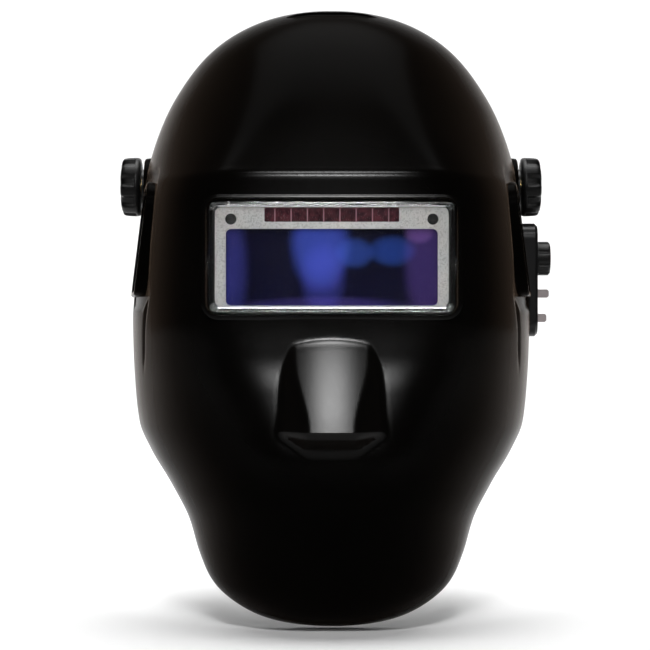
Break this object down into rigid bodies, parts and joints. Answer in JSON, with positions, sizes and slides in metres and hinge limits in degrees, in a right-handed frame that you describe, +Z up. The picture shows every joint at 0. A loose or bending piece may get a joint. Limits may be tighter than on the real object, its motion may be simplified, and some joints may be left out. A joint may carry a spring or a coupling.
{
  "type": "welding helmet",
  "caption": "Auto-darkening welding helmet with side windows, outside shade controls, flip-up shell and ratchet head harness.",
  "frame": {"origin": "middle of the flip axis, between the two tension knobs", "axes": "+Z up, -Y the way the wearer looks, +X to the wearer's left"},
  "size_m": [0.2299, 0.2944, 0.3079],
  "materials": {
    "shell_plastic": "satin black moulded nylon with a fine grain",
    "black_plastic": "satin black",
    "band_plastic": "flexible black plastic",
    "knob_plastic": "fine grained black",
    "lever_plastic": "light grey",
    "housing_plastic": "warm light grey, fine speckle",
    "clear_lens": "clear polycarbonate",
    "side_glass": "dark shade glass",
    "filter_glass": "coated deep blue filter",
    "solar_cell": "dark maroon cells under clear film",
    "sensor_lens": "glossy black",
    "circuit": "solder mask",
    "steel": "plated",
    "brass": "turned",
    "cable_jacket": "black jacket",
    "pad_foam": "black knit over foam"
  },
  "bodies": {
    "headgear": {"band_rivets": "steel", "brow_pad": "pad_foam", "crown_strap_left": "band_plastic", "crown_strap_right": "band_plastic", "crown_stud": "band_plastic", "friction_washer_left": "band_plastic", "friction_washer_right": "band_plastic", "headband": "band_plastic", "outer_washer_left": "black_plastic", "outer_washer_right": "black_plastic", "pivot_bolt_left": "steel", "pivot_bolt_right": "steel", "ratchet_cover": "black_plastic", "ratchet_housing": "black_plastic", "ratchet_screws": "steel", "rear_pad": "pad_foam", "rear_strap_left": "band_plastic", "rear_strap_right": "band_plastic", "side_bracket_left": "band_plastic", "side_bracket_right": "band_plastic"},
    "shell": {"shell": "shell_plastic", "front_cover_lens": "clear_lens", "cartridge_front": "housing_plastic", "cartridge_rear": "black_plastic", "filter_glass": "filter_glass", "lcd_shutter": "filter_glass", "solar_panel": "solar_cell", "arc_sensors": "sensor_lens", "circuit_board": "circuit", "coin_cells": "steel", "inner_cover_lens": "clear_lens", "side_window_frame_left": "black_plastic", "side_window_frame_right": "black_plastic", "side_lens_left": "side_glass", "side_lens_right": "side_glass", "control_pod": "black_plastic", "pod_back_cover": "black_plastic", "pod_screws": "steel", "shade_potentiometer": "black_plastic", "lever_switches": "black_plastic", "control_cable": "cable_jacket", "cable_clips": "black_plastic", "cable_gland": "black_plastic", "retainer_pins": "steel"},
    "retainer": {"cartridge_retainer": "black_plastic"},
    "shade_knob": {"shade_knob": "knob_plastic"},
    "sensitivity_lever": {"sensitivity_lever": "lever_plastic"},
    "delay_lever": {"delay_lever": "lever_plastic"},
    "tension_knob_left": {"tension_knob_left": "knob_plastic", "knob_insert_left": "brass"},
    "tension_knob_right": {"tension_knob_right": "knob_plastic", "knob_insert_right": "brass"},
    "ratchet_knob": {"ratchet_knob": "knob_plastic", "ratchet_pinion": "band_plastic"},
    "band_tail_left": {"band_tail_left": "band_plastic"},
    "band_tail_right": {"band_tail_right": "band_plastic"}
  },
  "joints": [
    {"name": "shell_flip", "type": "hinge", "parent": "headgear", "child": "shell", "pos_m": [0, 0, 0], "axis": [-1, 0, 0], "range_deg": [0, 70]},
    {"name": "retainer_swing", "type": "hinge", "parent": "shell", "child": "retainer", "pos_m": [0, -0.1319, 0.01], "axis": [1, 0, 0], "range_deg": [0, 45]},
    {"name": "shade_turn", "type": "hinge", "parent": "shell", "child": "shade_knob", "pos_m": [0.1135, 0.004, -0.0382], "axis": [1, 0, 0], "range_deg": [0, 270]},
    {"name": "sensitivity_set", "type": "hinge", "parent": "shell", "child": "sensitivity_lever", "pos_m": [0.1044, 0.004, -0.057], "axis": [0, 0, 1], "range_deg": [-14, 14]},
    {"name": "delay_set", "type": "hinge", "parent": "shell", "child": "delay_lever", "pos_m": [0.1044, 0.004, -0.0701], "axis": [0, 0, 1], "range_deg": [-14, 14]},
    {"name": "tension_left", "type": "hinge", "parent": "headgear", "child": "tension_knob_left", "pos_m": [0.107, 0, 0], "axis": [1, 0, 0], "continuous": true},
    {"name": "tension_right", "type": "hinge", "parent": "headgear", "child": "tension_knob_right", "pos_m": [-0.107, 0, 0], "axis": [-1, 0, 0], "continuous": true},
    {"name": "ratchet_turn", "type": "hinge", "parent": "headgear", "child": "ratchet_knob", "pos_m": [0, 0.115, -0.004], "axis": [0, 1, 0], "range_deg": [-114, 114]},
    {"name": "tail_slide_left", "type": "slide", "parent": "headgear", "child": "band_tail_left", "axis": [1, 0, 0], "range_m": [-0.012, 0.012], "deforming": ["rear_strap_left"]},
    {"name": "tail_slide_right", "type": "slide", "parent": "headgear", "child": "band_tail_right", "axis": [1, 0, 0], "range_m": [-0.012, 0.012], "deforming": ["rear_strap_right"]}
  ],
  "couplings": [
    {"joint": "tail_slide_left", "follows": "ratchet_turn", "m_per_rad": -0.006},
    {"joint": "tail_slide_right", "follows": "ratchet_turn", "m_per_rad": 0.006}
  ]
}
